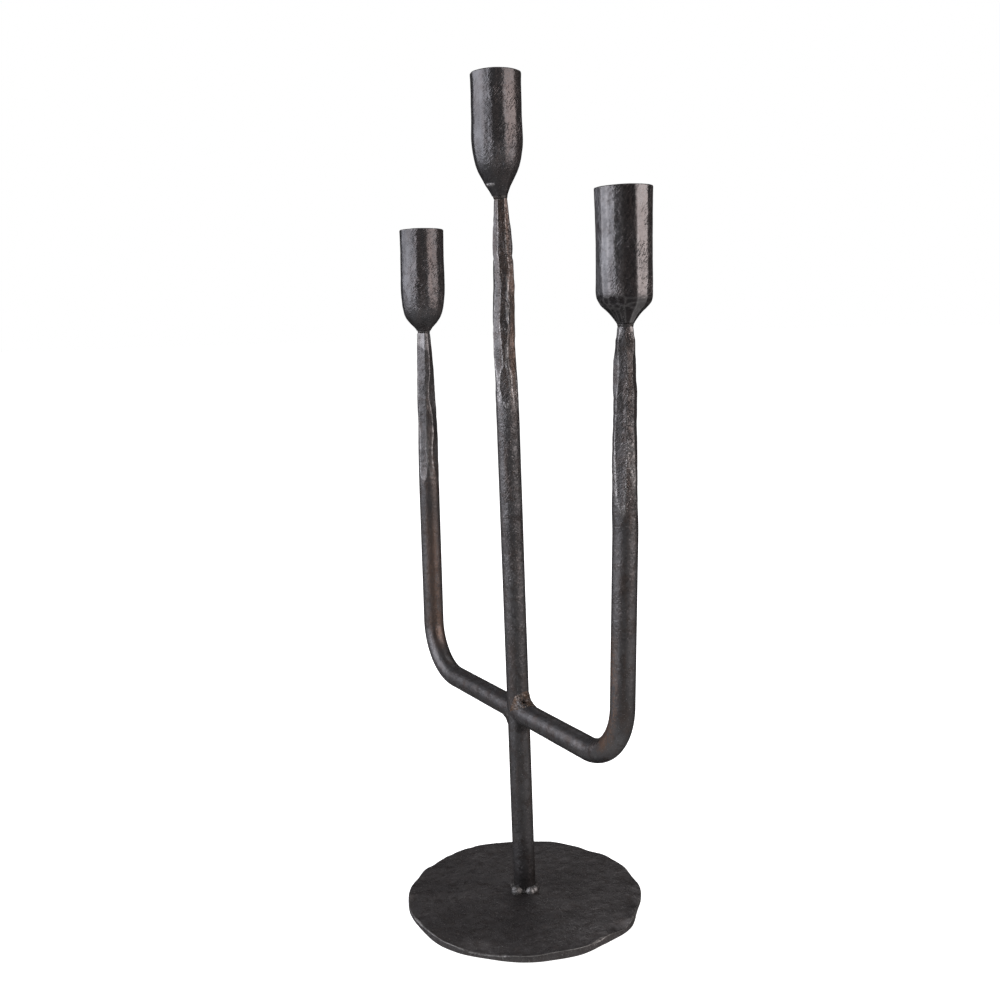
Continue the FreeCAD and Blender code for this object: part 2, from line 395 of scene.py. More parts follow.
def iron(name, dark, brown, worn, black, roughness, relief, pebble_mm, pebble_depth, hatch_depth, sparkle):
    """Blackened wrought iron with a pebbled skin. relief and the depths are in mm, and sparkle is how
    strong the bright specks are in the plain places."""
    s = Shader(name)
    marks = [s.attribute(key) for key in MARKS]
    cloud = s.noise(24.0, 4.0, 0.6)
    grain = s.noise(1.1, 3.0, 0.7)
    tone, black_scale_and_shade, bright = patina(s, marks, (dark, brown, worn, black), cloud, grain, sparkle)
    mixed = s.add(s.times(cloud, 0.5), s.times(grain, 0.5))
    rough = s.ramp(mixed, 0.30, 0.70, roughness - 0.07, roughness + 0.09)
    rough = s.add(rough, s.times(black_scale_and_shade, 0.14))
    rough = s.math("SUBTRACT", rough, s.times(bright, 0.08))
    pits = marks[MARKS.index("pits")]
    normal = forged_skin(s, pits, relief, pebble_mm, pebble_depth, hatch_depth)
    s.fill(s.bsdf, {"Base Color": tone, "Roughness": rough, "Metallic": 0.82, "Normal": normal,
                    "Specular IOR Level": 0.35, "Specular Tint": (0.2, 0.2, 0.2)})
    return s.material


materials = {
    "bar_iron": iron("blackened_bar_iron", dark=(0.085, 0.082, 0.084), brown=(0.122, 0.084, 0.067),
                     worn=(0.34, 0.33, 0.33), black=(0.024, 0.022, 0.022), roughness=0.42, relief=0.20,
                     pebble_mm=1.4, pebble_depth=0.21, hatch_depth=0.21, sparkle=0.20),
    "foot_iron": iron("blackened_plate_iron", dark=(0.086, 0.080, 0.081), brown=(0.100, 0.080, 0.073),
                      worn=(0.36, 0.35, 0.34), black=(0.028, 0.025, 0.025), roughness=0.45, relief=0.24,
                      pebble_mm=0.9, pebble_depth=0.16, hatch_depth=0.03, sparkle=0.35),
    "cup_iron": iron("rubbed_cup_iron", dark=(0.086, 0.085, 0.089), brown=(0.108, 0.091, 0.088),
                     worn=(0.23, 0.22, 0.22), black=(0.008, 0.007, 0.0075), roughness=0.33, relief=0.38,
                     pebble_mm=1.7, pebble_depth=0.08, hatch_depth=0.22, sparkle=0.06),
    "weld_iron": iron("brown_weld_iron", dark=(0.062, 0.060, 0.060), brown=(0.088, 0.061, 0.046),
                      worn=(0.34, 0.33, 0.33), black=(0.008, 0.006, 0.005), roughness=0.50, relief=0.46,
                      pebble_mm=1.3, pebble_depth=0.30, hatch_depth=0.20, sparkle=0.35),
}


# ------------ bars
BAR_POINTS = 96            # points round a bar
STEP = 0.65 * MM           # distance between the rings of a bar


def rounded_path(points, radii, step):
    """Centres and directions along straight runs joined by tangent arcs."""
    centres, tangents = [], []

    def run(a, b):
        length = np.linalg.norm(b - a)
        n = max(1, int(round(length / step)))
        for i in range(n):
            centres.append(a + (b - a) * i / n)
            tangents.append((b - a) / length)

    last = points[0]
    for before, corner, after, radius in zip(points, points[1:], points[2:], radii):
        u = (before - corner) / np.linalg.norm(before - corner)
        v = (after - corner) / np.linalg.norm(after - corner)
        half = math.acos(float(np.clip(u @ v, -1, 1))) / 2
        back = radius / math.tan(half)
        start, end = corner + u * back, corner + v * back
        run(last, start)
        sweep = math.pi - 2 * half
        middle = corner + (u + v) / np.linalg.norm(u + v) * radius / math.sin(half)
        outward = (start - middle) / radius
        n = max(2, int(round(radius * sweep / step)))
        for i in range(n):
            a = sweep * i / n
            centres.append(middle + radius * (math.cos(a) * outward - math.sin(a) * u))
            tangents.append(-math.sin(a) * outward - math.cos(a) * u)
        last = end
    run(last, points[-1])
    centres.append(points[-1])
    tangents.append(tangents[-1])
    return np.array(centres), np.array(tangents)


def rings(centres, tangents, radius):
    """Rings of points round a centre line; a quarter turn points to the back (+Y)."""
    sideways = np.array([0.0, 1.0, 0.0]) - tangents * tangents[:, 1:2]
    sideways /= np.linalg.norm(sideways, axis=1, keepdims=True)
    first = np.cross(tangents, sideways)
    angle = turns(radius.shape[1])[None, :, None]
    outward = np.cos(angle) * first[:, None, :] + np.sin(angle) * sideways[:, None, :]
    return centres[:, None, :] + radius[..., None] * outward, outward


def stem_point(height):
    """Point on the stem's axis, which leans a little to the front."""
    return np.array([0.0, centre_axis.y * height / CENTRE_NECK, height])


# distance below the neck and width, mm: across the flats and across the hammered corners
CENTRE_MAIN = [(1.5, 6.6), (15, 8.0), (29, 9.4), (51, 9.9), (63, 10.3), (96, 11.2), (119, 12.8)]
CENTRE_CORNER = [(1.5, 7.0), (6, 7.6), (12, 8.3), (21, 9.3), (30, 10.2), (45, 10.5), (57, 11.0),
                 (72, 11.0), (90, 11.5), (105, 12.3), (119, 13.0)]
LEFT_MAIN = [(1.5, 6.9), (7.5, 7.6), (13.5, 8.3), (22.5, 8.9), (36.5, 9.1), (46.5, 9.8), (52.5, 10.6),
             (64.5, 10.7), (78.5, 11.2), (88.5, 11.8), (100.5, 13.0)]
LEFT_CORNER = [(1.5, 7.4), (22.5, 9.8), (46.5, 10.6), (64.5, 11.6), (88.5, 12.4), (100.5, 13.4)]
RIGHT_MAIN = [(1.5, 6.8), (4.5, 7.2), (7.0, 8.3), (12.5, 8.8), (23.5, 9.2), (39.5, 9.9), (59.5, 10.8),
              (79.5, 11.8), (93.5, 13.0)]
RIGHT_CORNER = [(1.5, 7.0), (4.5, 7.6), (7.0, 8.9), (14.5, 9.5), (32.5, 10.2), (50.5, 10.9),
                (68.5, 11.7), (79.5, 12.4), (93.5, 13.4)]
# the hammered ends are a little out of line: distance below the neck, shift to the right in mm
CENTRE_DRIFT = [(0, 0.25), (33, 0.3), (51, -0.05), (69, -0.3), (84, -0.35), (96, -0.15), (119, 0.05)]
LEFT_DRIFT = [(0, -0.1), (4.5, -0.1), (24.5, 0.15), (40.5, -0.15), (54.5, 0.25), (79.5, 0.1), (92.5, 0)]
RIGHT_DRIFT = [(0, 0.8), (15, 0.6), (45, -0.05), (75, -0.25), (93, 0)]
# direction of each end's first flat from the camera, degrees
CENTRE_TURN, LEFT_TURN, RIGHT_TURN = 47, -27, -17


def uneven(points, forged, seed):
    """Small unevenness of a bar: long scale marks everywhere, dents and pits where it was forged."""
    scale_marks = noise(points, (2.6 * MM, 2.6 * MM, 20 * MM), seed) * 0.035
    dents = np.minimum(noise(points, 4.2 * MM, seed + 3), 0) * 0.18 * forged
    pits = np.minimum(noise(points, 1.4 * MM, seed + 5) + 0.12, 0) * 0.12 * forged
    return (scale_marks + dents + pits) * MM


def bright_nicks(angle, drop, rows):
    """Row of bright nicks along one edge of the stem's front flat."""
    turn = angle - CAMERA_SIDE - math.radians(21) + np.radians(7) * wander(drop, 9, 15)[:, None]
    along = ease(38, 43, drop) * (1 - ease(62, 68, drop))
    line = np.exp(-(np.sin(turn) / 0.10) ** 2) * (np.cos(turn) > 0)
    return along[:, None] * line * ease(-0.4, 0.3, noise(rows, 2.2 * MM, 17))


def stem_darkening(angle, heights, drop):
    """Darkening of the stem's front, carried by the scale mark: a painted shade on the hammered flat that
    faces the camera, a darker band just above the foot's weld, and a painted shadow under the arm bar.
    """
    # painted shade on the hammered flat that faces the camera
    upper = 0.55 * (1 - ease(88, 100, drop))[:, None] * ease(0.86, 0.97, toward(angle))
    above_foot = (heights - foot_high.z) / MM
    below_arm = (CROSSING_HEIGHT - heights) / MM
    by_weld = 0.9 * (1 - ease(6, 15, above_foot))[:, None] * facing(angle, 0)
    # painted shadow under the arm bar, on the side toward the camera
    shadow_under_arm = ((1 - ease(9, 12.5, below_arm)) * (below_arm > 0))[:, None]
    shadow_under_arm = shadow_under_arm * ease(0.72, 0.95, toward(angle, 22))
    return np.maximum(np.maximum(upper, by_weld), shadow_under_arm)


def straight_bar(name, low, high, node):
    """Stem piece between two heights, drawn down at its top where the tables say so."""
    heights = np.arange(low, high + STEP / 2, STEP)
    drop = (CENTRE_NECK - heights) / MM
    lean = stem_point(1.0) / np.linalg.norm(stem_point(1.0))
    drift = table(CENTRE_DRIFT, drop) * MM * (drop < CENTRE_MAIN[-1][0])
    centres = np.array([stem_point(z) for z in heights]) + drift[:, None] * ACROSS
    tangents = np.tile(lean, (len(heights), 1))
    angle = math.pi - turns(BAR_POINTS)[None, :]
    radius, ridge = hammered_end(angle, drop, CENTRE_MAIN, CENTRE_CORNER, CENTRE_TURN, 11, 0.75)
    radius = with_tenon(radius, drop, 2.5)
    forged = 1 - ease(96, 119, drop)[:, None] + 0 * radius
    radius = radius + uneven(rings(centres, tangents, radius)[0], forged, 31)
    nicked = bright_nicks(angle, drop, rings(centres, tangents, radius)[0])
    radius = radius + nicked * 0.22 * MM
    rows = rings(centres, tangents, radius)[0]

    rub = (1 - ease(85, 112, drop))[:, None] * facing(angle, 48) * 0.6
    pebbled = 1 - ease(170, 230, drop)[:, None]
    marks = {"edge": ridge * forged, "rub": rub, "polish": nicked, "scale": stem_darkening(angle, heights, drop),
             "pits": 0.35 + 0.75 * pebbled * facing(angle, 30, 0.6)}
    grid_mesh(name, rows, marks, "bar_iron", [node])


def arm_path():
    """Centre line of the arm bar: up the left side, across, and up the right side with a gentle bend."""
    left_top = np.array([left_axis.x, ARM_Y, arm_high.z - 1.0 * MM])
    left_corner = np.array([left_axis.x, ARM_Y, CROSSING_HEIGHT])
    right_corner = np.array([right_axis.x, ARM_Y, CROSSING_HEIGHT])
    kink = np.array([right_axis.x, right_axis.y, CROSSING_HEIGHT + STRAIGHT_ABOVE_CROSSING])
    right_top = np.array([right_axis.x, right_axis.y, arm_high.z])
    radii = [BEND_RADIUS, BEND_RADIUS, STRAIGHT_RADIUS]
    return rounded_path([left_top, left_corner, right_corner, kink, right_top], radii, STEP)


def arm_marks(angle, drop, above, inner, side, forged, ridge):
    """Brown rubs on the inner sides of both bends and down the right of the hammered ends, grey filed
    collars under the cups, the right one with painted highlights on its two sides, and file marks on the
    right end.
    above is the height over the arm bar's run in mm, and side is true on the left upright."""
    left_bend = ease(2, 20, above) * (1 - ease(62, 110, above)) * side
    right_bend = ease(2, 12, above) * (1 - ease(38, 75, above)) * ~side
    rub = left_bend * ease(0.3, 0.9, inner) * 0.7 + right_bend * ease(-0.75, 0.3, inner) * 1.9
    right_face = facing(angle, 52) * (1 - ease(80, 110, drop))
    rub = np.maximum(rub, right_face * np.where(side, ease(50, 85, drop) * 0.45, 0.12))
    # on the left upright the collar ends in a point
    pointed = 10.5 - 3.0 * np.abs(np.sin(angle - CAMERA_SIDE - 0.1))
    collar = 1 - ease(0, 1.2, drop - np.where(side, pointed, 5.8))
    # the left collar is filed bright all round; the right collar gets painted highlights on its two sides as
    # seen from the camera
    filed_shine_and_highlight = np.where(side, 0.35, 0.55 * (np.abs(np.sin(angle - CAMERA_SIDE)) > 0.5))
    rasped = ~side * forged * ease(0.75, 0.95, toward(angle, 25))
    scale = ~side * forged * (1 - collar) * (0.18 + 0.3 * (1 - ease(5.5, 30, drop)))
    return {"edge": 0.65 * ridge * forged * (1 - collar), "rub": rub, "polish": collar * filed_shine_and_highlight, "scale": scale,
            "pits": 0.2 + forged * np.where(side, 0.0, 0.12) + 1.1 * rasped}


def arm():
    """One bar bent into a U, its two ends drawn down."""
    centres, tangents = arm_path()
    is_left = centres[:, 0] < 0
    side = is_left[:, None]
    height = centres[:, 2]
    drop = (np.where(is_left, LEFT_NECK, RIGHT_NECK) - height) / MM
    round_bar = turns(BAR_POINTS)[None, :]
    angle = np.where(side, round_bar, math.pi - round_bar)
    left_radius, left_ridge = hammered_end(angle, drop, LEFT_MAIN, LEFT_CORNER, LEFT_TURN, 71)
    right_radius, right_ridge = hammered_end(angle, drop, RIGHT_MAIN, RIGHT_CORNER, RIGHT_TURN, 131)
    ridge = np.where(side, left_ridge, right_ridge)
    radius = with_tenon(np.where(side, left_radius, right_radius), drop, 2.0)
    forged = (1 - ease(78, 96, drop))[:, None] + 0 * radius
    drift = np.where(is_left, table(LEFT_DRIFT, drop), table(RIGHT_DRIFT, drop))
    centres = centres + drift[:, None] * MM * ACROSS
    radius = radius + uneven(rings(centres, tangents, radius)[0], forged, 57)
    rows, outward = rings(centres, tangents, radius)
    inner = np.where(side, outward[..., 0], -outward[..., 0])
    above = (height - CROSSING_HEIGHT)[:, None] / MM
    marks = arm_marks(angle, drop[:, None], above, inner, side, forged, ridge)
    grid_mesh("arm_bar_bent", rows, marks, "bar_iron", ["arm_bar"])


# ------------ candle cups
CUP_POINTS = 168
CUP_STEP = 0.5 * MM
CRISP_FLATNESS = 0.6           # a cup flatter than this has crisp ridges and a sharp edge to its black swage
RIM_REACH = 9 * MM             # how far below the rim its waviness reaches
# how far the last outer rings lie below the rim, and how much they are rounded in
LIP_DROPS = np.array([0.8, 0.55, 0.3, 0.1]) * MM
LIP_ROUNDING = np.array([0.0, -0.02, -0.12, -0.32]) * MM
# the cup's inside below the bore: radius and height above the cup's lower end, mm
CUP_FLOOR = [(11.25, 21), (9.6, 15.5), (6.8, 8), (4.8, 7.7), (0.4, 7.6)]

# height above the cup's lower end and width, mm
CENTRE_WIDTHS = [(0, 7.9), (3, 10.7), (6, 14.0), (9, 17.1), (12, 20.2), (15, 22.4), (18, 24.0), (21, 25.1),
                 (24, 25.9), (28, 26.3), (33, 26.1), (39, 25.8), (49, 25.6), (56, 25.6), (60, 25.9)]
LEFT_WIDTHS = [(0, 8.0), (1.5, 10.0), (4.5, 16.0), (7.5, 20.6), (10.5, 22.9), (13.5, 24.2), (16.5, 25.0),
               (19.5, 25.6), (22.5, 26.0), (27.5, 26.2), (34.5, 25.9), (40.5, 25.7), (46.5, 25.6),
               (52.5, 25.8), (58.5, 26.0)]
RIGHT_WIDTHS = [(0, 7.4), (4.8, 14.8), (8.6, 23.2), (10.2, 25.2), (13.8, 26.0), (24.5, 25.8), (34.5, 25.7),
                (44.5, 26.0), (59.5, 26.6)]
# directions of the body's ridges from the camera, degrees
EVEN_RIDGES = [-175, -148, -118, -92, -63, -34, -8, 19, 46, 74, 103, 131, 158]
RIGHT_RIDGES = [-170, -140, -110, -78, -52, -38, -24, -9, 21.5, 48, 72, 105, 138, 164]


def spread_flats(edges_deg):
    """Directions and half widths of flats between these ridge angles, both in degrees."""
    closed = list(edges_deg) + [edges_deg[0] + 360]
    return [((a + b) / 2, (b - a) / 2) for a, b in zip(closed, closed[1:])]


def softened(values, spread=1.6, reach=6):
    """Values along a profile, blended with their neighbours."""
    weights = np.exp(-0.5 * (np.arange(-reach, reach + 1) / spread) ** 2)
    return np.convolve(np.pad(values, reach, mode="edge"), weights / weights.sum(), mode="valid")


def cup_flats(z_out, above, half, ridges, cones, flatness, seed):
    """Flats of the cup's body and of the hammered slopes below it, each wavering a little."""
    flats = []
    for k, (direction, half_width) in enumerate(spread_flats(ridges)):
        waver_deg = (2.0 + 3.6 * flatness) * wander(z_out, 13 * MM, seed + 50 + k)
        turned = (CAMERA_SIDE + np.radians(direction + waver_deg))[:, None]
        depth = flatness * (1 - math.cos(math.radians(half_width)))
        body = half * (1 - depth) + 0.10 * MM * wander(z_out, 13 * MM, seed + 80 + k)
        flats.append((turned, body[:, None]))
        for j, (start, radius, slope) in enumerate(cones):
            lift = 0.22 * float(lattice(np.array([k, j, 7]), seed))
            cone = (radius + lift + (above - start) * slope) * MM
            flats.append((turned + 0.05 * j, np.maximum(cone, 2.5 * MM)[:, None]))
    return flats


def cup_relief(points, swage, seed):
    """Dents and pebbles of a cup's skin, in mm."""
    dents = noise(points, 8.0 * MM, seed) * 0.10
    dents = dents + np.minimum(noise(points, (6 * MM, 6 * MM, 8 * MM), seed + 2), 0) * 0.22 * swage
    pebble = np.minimum(noise(points, 1.6 * MM, seed + 3) + 0.15, 0) * 0.07
    pebble = pebble + noise(points, 3.0 * MM, seed + 4) * 0.04
    return dents + pebble - 0.05


def cup_inside(axis, low, high, lip_radius, drift, circle, rim_wave, seed):
    """Rings over the rim, down the bore and across the floor."""
    profile = [(lip_radius, high.z),
               (BORE_RADIUS + 0.35 * MM, high.z - 0.02 * MM),
               (BORE_RADIUS + 0.08 * MM, high.z - 0.3 * MM)]
    bore_end = low.z + CUP_FLOOR[0][1] * MM
    profile += [(BORE_RADIUS, z) for z in np.arange(high.z - 1.2 * MM, bore_end, -1.6 * MM)]
    profile += [(r * MM, low.z + z * MM) for r, z in CUP_FLOOR]
    inner = []
    for r, z in profile:
        shift = float(table(drift, (z - low.z) / MM)) * MM
        row = np.array([axis.x, axis.y, z]) + shift * ACROSS + r * circle
        row[:, 2] += rim_wave * float(ease(high.z - RIM_REACH, high.z, z)) * MM
        inner.append(row)
    inner = np.array(inner)
    return inner + (noise(inner, 2.0 * MM, seed + 5) * 0.05 * MM)[..., None] * circle


def swaged(above):
    """1 at the swaged lower end of a cup, fading to 0 on its body; above is in mm."""
    return 1 - ease(10, 26, above)[:, None]


def between(span, angle):
    """1 within a span of directions from the camera, (from, to) in degrees."""
    turn_deg = (np.degrees(angle - CAMERA_SIDE) + 180) % 360 - 180
    return band(*span, 1.5, turn_deg)


def cup_marks(angle, above, ridge, cut, seed, flatness, rub_deg, scale_top, dark_flat=None, bright_flat=None):
    """Marks of a cup's outer skin. The black swage reaches up to scale_top in mm. The last two arguments are
    spans of directions on the body from the camera, in degrees: the first gets a painted shade, the second a
    painted highlight."""
    crisp = flatness > CRISP_FLATNESS
    above_cut = np.roll(cut, -2, axis=0) * (cut < 0.5)
    fade, blackness = (0.6, 1.0) if crisp else (4.0, 0.7)
    border = scale_top + 0.5 * wander(angle[0] * 4, 1.0, seed + 90)[None, :]
    scale = blackness * (1 - ease(-fade, fade, above[:, None] - border))
    smoother = 1 - 0.5 * ease(36, 52, above)[:, None]
    pits = (0.15 + 0.75 * facing(angle, 45) + 0.10 * swaged(above)) * smoother
    polish = 0.0
    # painted highlight on the flats within one span of directions
    if bright_flat:
        shine = 0.34 + 0.30 * wander(above, 11.0, seed + 91)[:, None]
        polish = shine * between(bright_flat, angle)
    # painted shade on the flats within another span, carried by the scale mark
    if dark_flat:
        in_painted_shade = between(dark_flat, angle)
        scale = np.maximum(scale, 0.8 * in_painted_shade)
        pits = pits * (1 - 0.6 * in_painted_shade)
    return {"edge": ridge * (0.30 if crisp else 0.05) + above_cut, "rub": facing(angle, rub_deg) * 0.55,
            "pits": pits, "scale": scale, "polish": polish}


def cup(name, node, axis, widths, drift, ridges, cones, seed, flatness, rim_tilt=0.0, nick=None, **look):
    """Swaged pipe: outer skin from the neck to the rim, over the rim, and down the bore to the floor.
    ridges are the angles of the body's ridges from the camera, cones the hammered slopes below:
    (height above the lower end, radius there, slope), and nick is (height, from, to) of a chisel mark."""
    low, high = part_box(node)
    angle = turns(CUP_POINTS)[None, :]
    circle = unit_circle(angle[0])
    z_out = np.concatenate([np.arange(low.z, high.z - 0.9 * MM, CUP_STEP), high.z - LIP_DROPS])
    above = (z_out - low.z) / MM
    half = softened(table(widths, above) / 2 * MM)
    flats = cup_flats(z_out, above, half, ridges, cones, flatness, seed)
    base, ridge = forged_radius(angle, flats, (half * 1.004)[:, None], CUP_SHARPNESS)
    lip = len(LIP_DROPS)
    base[-lip:] = base[-lip - 1] + LIP_ROUNDING[:, None]
    centre = np.array([axis.x, axis.y, 0.0]) + (table(drift, above) * MM)[:, None] * ACROSS
    centre[:, 2] = z_out
    points = centre[:, None, :] + base[..., None] * circle
    base = base + cup_relief(points, swaged(above), seed) * MM
    cut = 0 * base
    if nick:
        cut = between(nick[1:], angle) * np.exp(-((above[:, None] - nick[0]) / 0.55) ** 2)
        base = base - cut * 0.45 * MM
    outer = centre[:, None, :] + base[..., None] * circle
    outer[..., 0] = np.minimum(outer[..., 0], cad_box[1].x - 0.02 * MM)

    # hand-cut rim: slightly wavy and out of level
    rim_wave = 0.10 * noise(circle, 0.55, seed + 7) - 0.12 + rim_tilt * (circle @ ACROSS - 1)
    outer[..., 2] += ease(high.z - RIM_REACH, high.z, z_out)[:, None] * rim_wave[None, :] * MM
    lip_radius = base[-1].mean() - 0.25 * MM
    rows = np.concatenate([outer, cup_inside(axis, low, high, lip_radius, drift, circle, rim_wave, seed)])

    marks = {}
    for key, values in cup_marks(angle, above, ridge, cut, seed, flatness, **look).items():
        marks[key] = np.zeros(rows.shape[:2])
        marks[key][:len(z_out)] = values
    marks["edge"][len(z_out) - 3:len(z_out) + 2] = 0.45     # the rim is worn on both sides of its corner
    grid_mesh(name, rows, marks, "cup_iron", [node])


# ------------ foot
FOOT_POINTS = 640
FOOT_RADIUS = 64 * MM
SIDE_END = 0.2 * MM            # height of the side's lower end


def foot_outline(middle, angle):
    """Radius of the CAD plate's hand-cut outline at each angle."""
    corners = np.array([v.co for v in frame["nodes"]["foot_plate"].data.vertices])
    x, y, z = (corners - middle).T
    radius = np.hypot(x, y)
    on_rim = (radius > 50 * MM) & (z < 0.2 * MM)     # the corners along the underside's edge
    return np.interp(angle, np.arctan2(y, x)[on_rim], radius[on_rim], period=2 * math.pi)


def foot():
    """Hammered round plate: uneven outline, upper edge knocked down blow by blow, faint dents on top."""
    middle = np.array([(foot_low.x + foot_high.x) / 2, (foot_low.y + foot_high.y) / 2, 0.0])
    angle = np.linspace(-math.pi, math.pi, FOOT_POINTS, endpoint=False)
    circle = unit_circle(angle)
    rim = circle * FOOT_RADIUS
    wobble = 0.07 + 0.12 * noise(rim, 8 * MM, 5) + 0.04 * noise(rim, 3 * MM, 6)
    outline = foot_outline(middle, angle) - wobble * MM

    # blows on the upper edge: wide shallow ones that reach inwards, and short steep ones on the corner
    in_front = ease(-0.3, 0.4, circle @ TOWARD)
    shallow = np.clip(noise(rim, 12 * MM, 8) * 1.2 + 0.15, 0, 1) * (0.4 + 0.6 * in_front)
    steep = np.clip(noise(rim, 7 * MM, 12) + 0.05, 0, 1)
    corner_drop = (0.20 + 1.05 * steep ** 1.3) * MM
    corner_width = (0.40 + 1.5 * steep) * MM
    inner_radius = outline - corner_width
    rows, edges, pits = [], [], []

    def add(radius, z, edge, pit):
        rows.append(middle + circle * radius[:, None] + (z + 0 * radius)[:, None] * UP)
        edges.append(edge + np.zeros(FOOT_POINTS))
        pits.append(pit + np.zeros(FOOT_POINTS))

    # the top, from the middle outwards
    for share in np.concatenate([np.linspace(0.004, 0.8, 90), np.linspace(0.806, 1.0, 60)]):
        radius = inner_radius * share
        place = circle * radius[:, None]
        waves = noise(place, 21 * MM, 21) * 0.30 + noise(place, 8 * MM, 22) * 0.12
        dents = np.minimum(noise(place, 10 * MM, 27) + 0.1, 0) ** 2 * 0.35
        z = foot_high.z + (waves - dents - 0.40) * MM
        slope = (1 - ease(0, 11 * MM, inner_radius - radius)) ** 2 * shallow * 1.7 * MM
        add(radius, np.minimum(z, foot_high.z) - slope, 0.0, 0.35)
    plane = rows[-1][:, 2]
    # the knocked-down corner
    for t in np.linspace(0.14, 1.0, 7):
        add(inner_radius + corner_width * t, plane - corner_drop * t ** 1.7, 0.35 + 0.65 * (t > 0.4), 0.3)
    side_top = rows[-1][:, 2]
    # the side, slightly rounded, and the underside
    for t in np.linspace(0.05, 0.95, 13):
        z = side_top * (1 - t) + SIDE_END * t
        place = rim + z[:, None] * UP
        bulge = (0.10 * math.sin(math.pi * t) - 0.13) * MM + noise(place, 2.6 * MM, 33) * 0.05 * MM
        add(outline + bulge, z, 0.08, 0.5)
    for share in (0.998, 0.99, 0.9, 0.5, 0.02):
        add((outline - 0.4 * MM) * share, 0.0, 0.0, 0.2)
    marks = {"edge": 0.6 * np.array(edges), "pits": np.array(pits)}
    grid_mesh("foot_plate_hammered", np.array(rows), marks, "foot_iron", ["foot_plate"])


# ------------ welds
crossing = stem_point(CROSSING_HEIGHT)


def corner_fillet(name, node, side, stations, sink, pit, rub, seed):
    """Weld drawn concave along a corner of the crossing: side +1 is right above, -1 left below.
    stations are (turn in degrees, leg on the stem, leg on the arm bar in mm); pit is (turn, depth in mm), and
    the pit gets a painted shadow."""
    stops, stem_legs, arm_legs = zip(*stations)
    pit_turn, pit_depth = pit
    s = np.linspace(0, 1, 26)[:, None]
    toe = ease(0, 0.18, s) * ease(0, 0.18, 1 - s)
    outward = side * np.array([1, 0, 1])
    rows, scale, shine = [], [], []
    for turn in np.arange(stops[0], stops[-1] + 0.5, 1.5):
        t = math.radians(turn)
        corner = crossing + outward * BAR_RADIUS * math.cos(t) + np.array([0, BAR_RADIUS * math.sin(t), 0])
        up = side * UP * np.interp(turn, stops, stem_legs) * MM
        along = side * np.array([1, 0, 0]) * np.interp(turn, stops, arm_legs) * MM
        control = corner + sink * (up + along)
        skin = (1 - s) ** 2 * (corner + up) + 2 * s * (1 - s) * control + s ** 2 * (corner + along)
        # both toes dip under the bars' skins, and the rest of the ring runs inside the metal
        inward = -outward * math.cos(t)
        skin = skin + inward * 0.35 * MM * (1 - toe)
        lump = (noise(skin, 2.2 * MM, seed) * 0.34 + noise(skin, 1.1 * MM, seed + 1) * 0.22) * MM
        in_pit = np.exp(-((turn - pit_turn) / 11.0) ** 2 - ((s[:, 0] - 0.5) / 0.16) ** 2)
        skin = skin - inward * (lump * toe[:, 0] - pit_depth * MM * in_pit)[:, None]
        inside = [corner + along * 0.6 + inward * 1.6 * MM,
                  corner + inward * 1.8 * MM,
                  corner + up * 0.6 + inward * 1.6 * MM]
        rows.append(np.vstack([skin, inside]))
        # painted shadow in the pit, carried by the scale mark
        shadow = np.exp(-((turn - pit_turn) / 10.0) ** 2 - ((s[:, 0] - 0.5) / 0.15) ** 2)
        scale.append(np.append(shadow * (pit_depth > 0), np.zeros(3)))
        shine.append(np.append(np.clip(lump / MM * 3, 0, 1), np.zeros(3)))
    marks = {"rub": rub, "pits": 0.8, "scale": np.array(scale), "edge": np.array(shine) * 0.3}
    grid_mesh(name, np.array(rows), marks, "weld_iron", [node])


def run_together(blobs, voxel):
    """One skin round drops of metal; blobs is a list of (centre, radius)."""
    bands, seg = 10, 16
    verts, faces = [], []
    for c, r in blobs:
        start = len(verts)
        for i in range(bands + 1):
            tilt = math.pi * i / bands
            for j in range(seg):
                turn = 2 * math.pi * j / seg
                flat = math.sin(tilt)
                out = np.array([flat * math.cos(turn), flat * math.sin(turn), math.cos(tilt)])
                verts.append(c + r * out)
        for i in range(bands):
            for j in range(seg):
                a = start + i * seg + j
                b = start + i * seg + (j + 1) % seg
                faces.append((a, a + seg, b + seg, b))
    mesh = bpy.data.meshes.new("drops")
    mesh.from_pydata(verts, [], faces)
    drops = bpy.data.objects.new("drops", mesh)
    bpy.context.scene.collection.objects.link(drops)
    remesh = drops.modifiers.new("run_together", "REMESH")
    remesh.mode = "VOXEL"
    remesh.voxel_size = voxel
    soften = drops.modifiers.new("soften", "SMOOTH")
    soften.iterations = 5
    soften.factor = 0.5
    shaped = bpy.data.meshes.new_from_object(drops.evaluated_get(bpy.context.evaluated_depsgraph_get()))
    bpy.data.objects.remove(drops)
    return shaped


# the foot bead's taller drops: turn from the camera in degrees, reach, radius and height in mm, and strength
# of the painted highlight
BEAD_DROPS = [(-40, 6.9, 3.0, 0.5, 0.75), (27, 6.9, 2.5, 0.6, 1.0), (48, 6.7, 2.4, 0.6, 1.0),
              (95, 6.4, 1.5, 0.6, 0), (150, 7.1, 2.0, 0.5, 0), (205, 7.1, 1.8, 0.6, 0),
              (262, 6.6, 1.6, 0.5, 0)]
BEAD_STEPS = 30


def on_foot(turn, reach, height):
    """Place round the stem on the foot's top; reach from the stem's axis and height in mm."""
    return np.array([reach * math.cos(turn), reach * math.sin(turn), height]) * MM + foot_high.z * UP


